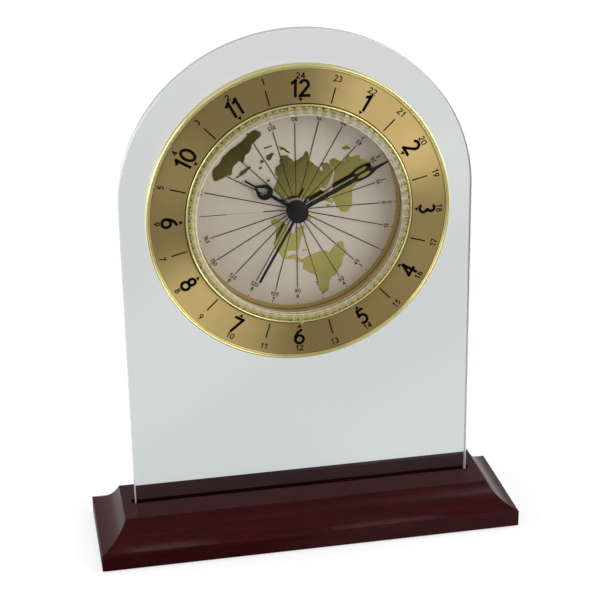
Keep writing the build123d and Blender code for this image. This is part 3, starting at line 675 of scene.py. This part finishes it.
hours = bmesh.new()
marks = bmesh.new()
day = bmesh.new()
for hour in range(1, 13):
    turn = hour * 30 + PRINT_TURN
    place = polar(HOUR_RADIUS, turn)
    add_number(hours, hour, place, readable(hour * 30), HOUR_HEIGHT, HOUR_STROKE)
    pointer = (
        polar(POINTER_TIP, turn),
        polar(POINTER_FOOT, turn - POINTER_TURN),
        polar(POINTER_FOOT, turn + POINTER_TURN),
    )
    add_prism(marks, pointer, INK)
    add_stroke(marks, polar(MARK_START, turn + 15), polar(MARK_END, turn + 15), MARK_WIDTH)
for number in range(1, 25):
    clock_turn = (24 - number) * 15
    place = polar(DAY_RADIUS, clock_turn + PRINT_TURN)
    add_number(day, number, place, readable(clock_turn), DAY_HEIGHT, DAY_STROKE, DAY_PITCH)
piece_from("hour_numbers", hours, DIAL_FACE, "dial_ink", "clock")
piece_from("half_hour_marks", marks, DIAL_FACE, "dial_ink", "clock")
piece_from("day_numbers", day, DIAL_FACE, "dial_ink", "clock")

# Map disc: a line for each 15 degrees of longitude, from the pole to its number near the edge,
# the hours from the first line in a second row, the dotted line opposite it, and short ticks.
# Numbers are left out where a line runs on to the border
LINE_START = 4.6
LINE_WIDTH = 0.27
LINE_RISE = 0.23
DOTS_START, DOTS, DOTS_END = 13.5, 14, 28.2
DOT_START, DOT_END = 14.2, 14.5
TICK_START, TICK_END = 40.7, 41.5
LABEL_HEIGHT, LABEL_STROKE = 1.8, 0.32
LABEL_GAP, LABEL_LIMIT = 1.5, 38.8
HOURS_GAP, HOURS_LIMIT = 3.8, 36.5
# Longitude: distance from the pole at which the line ends
LINE_ENDS = {
    0: 35.0, 15: 34.0, 30: 35.5, 45: 35.5, 60: 38.4, 75: 37.5, 90: 36.3, 105: 34.4,
    120: 34.0, 135: 31.5, 150: 32.5, 165: 38.6, 180: 39.6, -165: 36.7, -150: 38.2,
    -135: 36.3, -120: 34.2, -105: 35.8, -90: 34.0, -75: 32.4, -60: 35.3, -45: 33.8,
    -30: 40.0, -15: 37.4,
}
lines = bmesh.new()
labels = bmesh.new()
for longitude, end in LINE_ENDS.items():
    turn = 90 - longitude
    first_end = DOTS_START if longitude == 180 else end
    add_stroke(lines, polar(LINE_START, turn), polar(first_end, turn), LINE_WIDTH, LINE_RISE)
    if longitude == 180:
        for dot in range(DOTS):
            start = polar(DOT_START + dot, turn)
            add_stroke(lines, start, polar(DOT_END + dot, turn), LINE_WIDTH)
        add_stroke(lines, polar(DOTS_END, turn), polar(end, turn), LINE_WIDTH)
    add_stroke(lines, polar(TICK_START, turn), polar(TICK_END, turn), LINE_WIDTH)
    rows = (
        (abs(longitude), LABEL_GAP, LABEL_LIMIT),
        (abs(longitude) // 15, HOURS_GAP, HOURS_LIMIT),
    )
    for number, gap, limit in rows:
        if end < limit:
            place = polar(end + gap, turn)
            add_number(labels, number, place, turn + 180, LABEL_HEIGHT, LABEL_STROKE)
piece_from("meridian_lines", lines, DISC_FACE, "disc_ink", "map_disc")
piece_from("meridian_numbers", labels, DISC_FACE, "disc_ink", "map_disc")

# Coasts as (distance from the pole in mm, east longitude), for a map with the pole in the middle
COASTS = {
    "africa": (
        (17.8, 33), (19.6, 38), (21.2, 41), (22.8, 46), (23.9, 54.5), (25.0, 54), (26.1, 51.5),
        (26.5, 47.5), (27.7, 43.5), (28.6, 44), (30.4, 44.6), (30.9, 42.5),
        (31.7, 40.7), (32.4, 41),
        (33.4, 39), (33.3, 37), (34.4, 34), (35.2, 30), (35.3, 26.3), (34.0, 24), (31.5, 22.5),
        (29.0, 20.5), (26.5, 19.5), (24.6, 17.5), (23.9, 15), (23.4, 8.5), (23.3, 3), (23.2, -1.5),
        (21.6, -6), (20.1, -8), (18.2, -6), (16.8, -1.5), (16.3, 4.5), (15.7, 9), (15.6, 15),
        (16.4, 20), (16.8, 25), (17.4, 29),
    ),
    "eurasia": (
        (7.4, 150), (8.2, 140), (9.7, 134.5), (11.2, 134), (12.5, 134), (13.6, 131), (14.2, 125.5),
        (15.0, 121), (16.0, 117.5), (17.5, 118.5), (19.0, 116.5), (19.8, 114.5), (20.4, 111),
        (20.7, 108), (21.8, 107.5), (22.7, 106), (24.1, 104.5), (23.8, 101), (23.3, 97),
        (21.9, 95.5), (21.6, 94), (20.4, 92), (20.9, 90), (21.1, 87), (21.9, 84.5), (22.7, 82),
        (23.8, 81), (24.8, 79.6), (24.6, 77.7), (22.7, 76), (21.5, 74.6), (20.7, 71), (20.0, 67),
        (19.9, 63.5), (18.8, 56), (19.2, 54.5), (20.6, 58), (21.2, 61.5), (21.8, 60), (22.6, 56.5),
        (23.1, 53), (22.9, 49.5), (22.2, 46.5), (20.9, 42.5), (19.2, 40),
        (17.6, 37.5), (16.4, 35.5),
        (15.6, 37), (15.0, 33), (14.2, 36), (13.4, 40), (12.6, 36), (13.6, 31), (15.2, 27),
        (14.2, 24), (15.3, 19), (13.8, 17), (15.6, 10), (14.8, 5), (13.8, 9), (12.8, 12),
        (11.6, 20), (10.6, 18), (10.2, 26), (9.2, 26), (9.6, 16), (8.2, 18), (6.4, 24), (6.6, 40),
        (5.8, 46), (6.0, 62), (5.2, 80), (4.9, 100), (5.4, 120), (6.0, 138),
    ),
    "britain": ((14.6, 2), (13.4, 0), (12.4, 3), (13.2, 7)),
    "japan": ((18.0, 131), (16.9, 127), (16.3, 129.5), (17.0, 133)),
    "australia": (
        (37.9, 114.5), (36.2, 112.3), (34.8, 113), (34.2, 116.5), (33.6, 120.5), (32.3, 123),
        (31.3, 126.5), (31.7, 129.5), (30.7, 132), (29.9, 135.5), (31.9, 136), (31.9, 138),
        (32.2, 141), (31.6, 144), (30.6, 146), (31.0, 148), (32.4, 149.5), (33.1, 152),
        (34.6, 155), (36.2, 156.3), (37.8, 153.3), (38.4, 151), (38.0, 147), (37.8, 142),
        (37.8, 138), (37.5, 132), (37.2, 128), (37.4, 123), (37.9, 118.5),
    ),
    "new_guinea": (
        (29.1, 149), (28.3, 145), (28.5, 141), (28.0, 138), (26.9, 133), (26.1, 133), (26.4, 137),
        (26.6, 141), (27.5, 145),
    ),
    "borneo": (
        (26.4, 116.5), (26.5, 111), (25.4, 109.5), (24.6, 112.5), (23.9, 116.8), (25.3, 118),
    ),
    "sumatra": (
        (27.7, 103.7), (27.2, 100.8), (25.9, 98.3), (24.3, 95.2), (23.7, 94.9), (24.8, 98.6),
        (26.3, 102.9),
    ),
    "java": ((29.8, 115.2), (29.3, 108.8), (28.8, 108.9), (29.2, 115.3)),
    "celebes": ((26.0, 123.5), (25.4, 120.5), (24.4, 121.5), (24.9, 125)),
    "philippines": ((24.2, 128), (23.6, 125.5), (22.8, 126.5), (23.2, 129)),
    "madagascar": (
        (31.2, 52.6), (32.9, 50.8), (33.4, 48.2), (32.9, 46.8), (31.5, 49), (30.7, 51.5),
    ),
    "greenland": ((5.0, -22), (6.4, -22), (7.6, -36), (7.0, -48), (5.6, -54), (4.8, -40)),
    "cuba": ((18.4, -83), (18.2, -77), (17.8, -77.5), (17.9, -82.5)),
    "north_america": (
        (21.9, -84), (21.5, -86), (20.2, -89.5), (19.3, -94.5), (20.1, -96.5), (20.5, -101),
        (18.9, -103), (18.0, -102), (17.6, -94), (17.6, -88.5), (16.4, -86.5), (15.6, -86.2),
        (13.4, -83), (11.4, -79), (10.0, -73), (8.7, -66.5), (7.4, -67), (8.0, -76), (7.6, -86),
        (8.0, -93), (10.2, -96), (10.4, -104), (8.6, -112), (7.6, -122), (7.4, -134), (8.1, -148),
        (9.4, -158.7), (11.4, -159), (11.3, -151), (10.7, -143), (12.2, -133), (14.8, -126),
        (16.8, -124.7), (18.4, -119.5), (19.5, -111), (20.4, -109), (21.3, -105), (21.6, -98),
        (21.5, -92), (23.1, -86.5), (23.0, -84),
    ),
    "south_america": (
        (21.9, -83.5), (21.0, -75.5), (21.0, -66.5), (21.6, -61), (22.3, -57), (24.0, -55),
        (23.4, -46), (23.9, -39), (24.8, -38.5), (26.4, -42), (28.4, -43.3), (29.0, -46.7),
        (29.7, -50), (31.9, -54), (32.9, -58.6), (33.8, -63), (34.6, -66.8), (36.0, -68.3),
        (38.4, -70.3), (39.3, -74.5), (36.5, -75.3), (33.6, -75), (30.7, -74.4), (29.2, -76.5),
        (27.6, -81), (26.1, -84.7), (24.2, -83.8),
    ),
}


COAST_SWAY = 0.3
SWAY_SCALE = 1.7


def coast_outline(name):
    """Closed coast in mm, each stretch cut in two and set off a little so that it looks natural."""
    corners = [polar(distance, 90 - longitude) for distance, longitude in COASTS[name]]
    outline = []
    for corner, after in zip(corners, corners[1:] + corners[:1]):
        middle = (corner + after) / 2
        side = Vector((corner.y - after.y, after.x - corner.x, 0))
        outline += [corner, middle + side * COAST_SWAY * noise.noise(middle * SWAY_SCALE)]
    return outline


# Gold foil lands: a quarter of the foil's thickness is straight, between two bevels
for name in COASTS:
    curve = bpy.data.curves.new(f"map_{name}", "CURVE")
    curve.dimensions = "2D"
    curve.fill_mode = "BOTH"
    curve.extrude = MM * FOIL / 8
    curve.bevel_depth = MM * 3 * FOIL / 8
    curve.offset = -curve.bevel_depth
    curve.bevel_resolution = 1
    outline = coast_outline(name)
    spline = curve.splines.new("POLY")
    spline.points.add(len(outline) - 1)
    for point, corner in zip(spline.points, outline):
        point.co = (*corner * MM, 1)
    spline.use_cyclic_u = True
    spline.use_smooth = False
    curve.materials.append(LOOKS["map_gold"])
    land = new_object(f"map_{name}", curve)
    # The curve is in metres already, so that the dents in its foil keep their size
    land.matrix_world = on_plane(DISC_FACE - FOIL / 2) @ Matrix.Scale(1 / MM, 4)
    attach(land, "map_disc")

# Gold border round the edge of the map disc
BORDER_RADIUS, BORDER_WIDTH = 42.4, 1.7
border = bmesh.new()
ring = [polar(BORDER_RADIUS, turn) for turn in range(0, 361, 3)]
add_ribbon(border, ring, BORDER_WIDTH, FOIL)
piece_from("disc_border", border, DISC_FACE, "satin_brass", "map_disc")


# ---------------------------------------------------------------- pieces with rounded edges
def arc_profile(centre, half_width, height, first, last, steps=6):
    """Places (radius, depth) along an arc that bulges towards the viewer."""
    places = []
    for step in range(steps + 1):
        angle = radians(first + (last - first) * step / steps)
        places.append((centre[0] + half_width * cos(angle), centre[1] - height * sin(angle)))
    return places


def add_turned(drawing, profile, segments=180):
    """Closed ring or disc with this profile of (radius, depth), both in mm."""
    rows = []
    for step in range(segments):
        around = polar(1, 360 * step / segments)
        rows.append([drawing.verts.new((*(around.xy * r), -y)) for r, y in profile])
    for here, there in zip(rows, rows[1:] + rows[:1]):
        for i in range(len(profile)):
            j = (i + 1) % len(profile)
            drawing.faces.new((here[i], here[j], there[j], there[i]))
    bmesh.ops.remove_doubles(drawing, verts=drawing.verts[:], dist=0.001)


def smooth_edges(piece, angle):
    """Smooth shading with sharp edges above an angle."""
    for face in piece.data.polygons:
        face.use_smooth = True
    piece.data.set_sharp_from_angle(angle=radians(angle))


# Brass channel with a rolled outer rim, a bead inside it, a rounded inner lip and a small knob
# on the lip at six o'clock
KNOB_RADIUS = 0.6
rim = bmesh.new()
add_turned(
    rim,
    [(62.0, -2.1), *arc_profile((61.45, -4.9), 0.55, 0.7, 0, 165), (60.85, -4.95),
     *arc_profile((60.55, -4.95), 0.22, 0.35, 10, 180), (60.5, -4.85), (60.5, -4.0),
     (46.1, -4.0), *arc_profile((45.7, -5.15), 0.4, 0.45, 0, 180), (45.3, -4.0),
     (43.4, -4.0), (43.4, -3.2), (60.5, -3.2), (60.5, -2.1)],
)
knob = bmesh.ops.create_uvsphere(rim, u_segments=16, v_segments=8, radius=KNOB_RADIUS)
bmesh.ops.translate(rim, verts=knob["verts"], vec=polar(46.2, 180) + Vector((0, 0, 4.9)))
bezel_rim = piece_from("bezel_rim", rim, 0, "bezel_brass", "clock")
smooth_edges(bezel_rim, 50)
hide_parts("bezel")

# Seconds hand: a flat stick with a tail under a round cap
SECOND_TURN = 210.0
SECOND_REACH, SECOND_TAIL = 33.0, 8.0
STICK_WIDTH, STICK_THICKNESS, STICK_RISE = 1.04, 0.4, 1.3
stick = bmesh.new()
add_turned(
    stick,
    [(0.0, -2.2), (3.85, -2.2), (4.1, -2.1), (4.2, -1.9), (4.2, -0.8), (0.0, -0.8)],
    72,
)
across = polar(STICK_WIDTH / 2, SECOND_TURN + 90)
tip, tail = polar(SECOND_REACH, SECOND_TURN), polar(-SECOND_TAIL, SECOND_TURN)
blade = bmesh.new()
corners = (tip + across, tip - across, tail - across, tail + across)
add_prism(blade, corners, STICK_THICKNESS)
bmesh.ops.translate(blade, verts=blade.verts[:], vec=(0, 0, STICK_RISE))
stick.from_mesh(mesh_from("seconds_blade", blade))
seconds = piece_from("seconds_stick", stick, 0, "black_metal", "second_hand")
smooth_edges(seconds, 40)
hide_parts("second_hand")

# Wooden base with eased edges
base = new_object("base_moulding", nodes["base"].data.copy())
base.matrix_world = nodes["base"].matrix_world
ease = base.modifiers.new("ease", "BEVEL")
ease.width = 0.9 * MM
ease.segments = 3
ease.limit_method = "ANGLE"
ease.angle_limit = radians(30)
ease.harden_normals = False
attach(base, "clock")
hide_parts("base")


# ---------------------------------------------------------------- floor, light and camera
def looks_at(tree):
    """Two factors for a stage material: 1 where the camera looks, straight or through a clear
    solid, and 1 where a reflection looks."""
    path = tree.nodes.new("ShaderNodeLightPath")
    seen = math_node(
        tree, "MAXIMUM", path.outputs["Is Camera Ray"], path.outputs["Is Transmission Ray"]
    )
    mirrored = math_node(tree, "MINIMUM", path.outputs["Glossy Depth"], 1.0)
    scattered = math_node(tree, "MINIMUM", path.outputs["Diffuse Depth"], 1.0)
    bounced = math_node(tree, "MAXIMUM", mirrored, scattered)
    return math_node(tree, "MULTIPLY", seen, math_node(tree, "SUBTRACT", 1.0, bounced)), mirrored


# Half the floor's width in metres, and the tones and strengths of the floor and the world.
# FRONT_LEVELS is what reflections see of the floor in front, from its left to near the clock
FLOOR_REACH = 4.0
FLOOR_TONE = 0.86
SHADOW_TONE = 0.32
FLOOR_GLOW = 0.68
FRONT_LEVELS = (
    (0.0, 0.02), (0.12, 0.03), (0.25, 0.09), (0.33, 0.22), (0.45, 0.72), (0.62, 0.56),
    (0.72, 0.05), (0.88, 0.05), (1.0, 0.42),
)
WORLD_LIGHT = 0.32
WORLD_WHITE = 1.08
ROOM_LEVEL = 0.2


def floor_material():
    """White floor that keeps the shadow and gets whiter far out. Reflections see it white behind
    the clock and at both sides, and in front it falls off to a dark corner on the left."""
    material = principled("floor", (FLOOR_TONE,) * 3, roughness=0.7, Specular_IOR_Level=0.0)
    tree, shader = parts_of(material)
    straight, glossy = looks_at(tree)
    x, y, _ = place_parts(tree)
    corner = math_node(tree, "MULTIPLY_ADD", x, 1.2, y)
    front = ramp_node(
        tree,
        range_node(tree, corner, 0.0, 1.0, -0.50, 0.0),
        [(place, (level,) * 3) for place, level in FRONT_LEVELS],
    )
    behind = range_node(tree, y, 0.0, 1.1, -0.03, 0.07)
    aside = range_node(tree, math_node(tree, "ABSOLUTE", x), 0.0, 1.0, 0.25, 0.5)
    mirrored = math_node(tree, "MAXIMUM", math_node(tree, "ADD", front, behind), aside)
    far = length_node(tree, place_node(tree))
    seen_level = range_node(tree, far, FLOOR_GLOW, 1.0, 0.25, 1.2)
    glow = tree.nodes.new("ShaderNodeEmission")
    strength = mix_node(tree, mix_node(tree, 0.0, mirrored, glossy), seen_level, straight)
    tree.links.new(strength, glow.inputs["Strength"])
    lit_tone = mix_node(tree, FLOOR_TONE, 0.0, glossy)
    grey = tree.nodes.new("ShaderNodeCombineColor")
    tone = mix_node(tree, lit_tone, SHADOW_TONE, straight)
    for socket in grey.inputs[:3]:
        tree.links.new(tone, socket)
    tree.links.new(grey.outputs["Color"], shader.inputs["Base Color"])
    total = tree.nodes.new("ShaderNodeAddShader")
    tree.links.new(shader.outputs["BSDF"], total.inputs[0])
    tree.links.new(glow.outputs["Emission"], total.inputs[1])
    set_surface(tree, total)
    return material


def add_floor():
    """Floor as a stage sheet with a few divisions."""
    sheet = bmesh.new()
    bmesh.ops.create_grid(sheet, x_segments=8, y_segments=8, size=FLOOR_REACH)
    mesh = mesh_from("floor", sheet)
    mesh.materials.append(floor_material())
    obj = new_object("floor", mesh)


def studio_world():
    """White surroundings. Reflections see a dim room instead, lighter low down behind the clock
    and high up on the left."""
    world = bpy.data.worlds.new("studio")
    world.use_nodes = True
    tree = world.node_tree
    background = tree.nodes["Background"]
    background.inputs["Color"].default_value = (1, 1, 1, 1)
    straight, glossy = looks_at(tree)
    x, y, z = place_parts(tree, "Generated")
    backdrop = math_node(
        tree,
        "MULTIPLY",
        range_node(tree, y, 0.0, 0.5, 0.0, 0.2),
        range_node(tree, z, 1.0, 0.0, 0.30, 0.70),
    )
    upper_left = math_node(
        tree,
        "MULTIPLY",
        range_node(tree, x, 0.7, 0.0, -0.45, -0.05),
        range_node(tree, z, 0.0, 1.0, 0.35, 0.65),
    )
    patches = math_node(tree, "ADD", backdrop, upper_left)
    mirrored = math_node(tree, "ADD", patches, ROOM_LEVEL)
    level = mix_node(tree, mix_node(tree, WORLD_LIGHT, mirrored, glossy), WORLD_WHITE, straight)
    tree.links.new(level, background.inputs["Strength"])
    return world


def soft_lamp(name, place, target, size, power):
    """Square soft lamp that faces a target, with its size in metres and its power in watts."""
    lamp = bpy.data.lights.new(name, "AREA")
    lamp.size = size
    lamp.energy = power
    obj = new_object(name, lamp)
    obj.location = place
    obj.rotation_mode = "QUATERNION"
    obj.rotation_quaternion = (Vector(target) - Vector(place)).to_track_quat("-Z", "Y")
    return obj


add_floor()
bpy.context.scene.world = studio_world()
soft_lamp("lamp_right", (1.0, -0.5, 0.28), (0, 0, 0.12), 0.55, 4.6)
soft_lamp("lamp_right_high", (0.70, -0.76, 0.70), (0, 0, 0.12), 0.6, 4.3)
soft_lamp("lamp_left", (-1.0, -0.12, 0.42), (0, 0, 0.1), 0.7, 7.2)
soft_lamp("lamp_top", (0.1, 0.1, 1.3), (0, 0, 0.1), 0.9, 7.5).visible_glossy = False

# Camera as fitted to the photograph, in metres and with the focal length in its pixels
AZIMUTH = radians(-10.49)
ELEVATION = radians(22.15)
ROLL = radians(-1.0)
DISTANCE = 0.69632
TARGET = Vector((0.00029, 0, 0.10287))
FOCAL_LENGTH = 1691.45
PHOTO_WIDTH = 600
camera_data = bpy.data.cameras.new("camera")
camera_data.sensor_width = 36.0
camera_data.lens = camera_data.sensor_width * FOCAL_LENGTH / PHOTO_WIDTH
camera_data.clip_start = 0.05
camera = new_object("camera", camera_data)
back = Vector(
    (sin(AZIMUTH) * cos(ELEVATION), -cos(AZIMUTH) * cos(ELEVATION), sin(ELEVATION))
)
level_right = (-back).cross(Vector((0, 0, 1))).normalized()
level_up = level_right.cross(-back)
right = level_right * cos(ROLL) + level_up * sin(ROLL)
up = level_up * cos(ROLL) - level_right * sin(ROLL)
facing = Matrix((right, up, back)).transposed().to_4x4()
camera.matrix_world = Matrix.Translation(TARGET + back * DISTANCE) @ facing
bpy.context.scene.camera = camera
bpy.context.scene.view_settings.view_transform = "Standard"
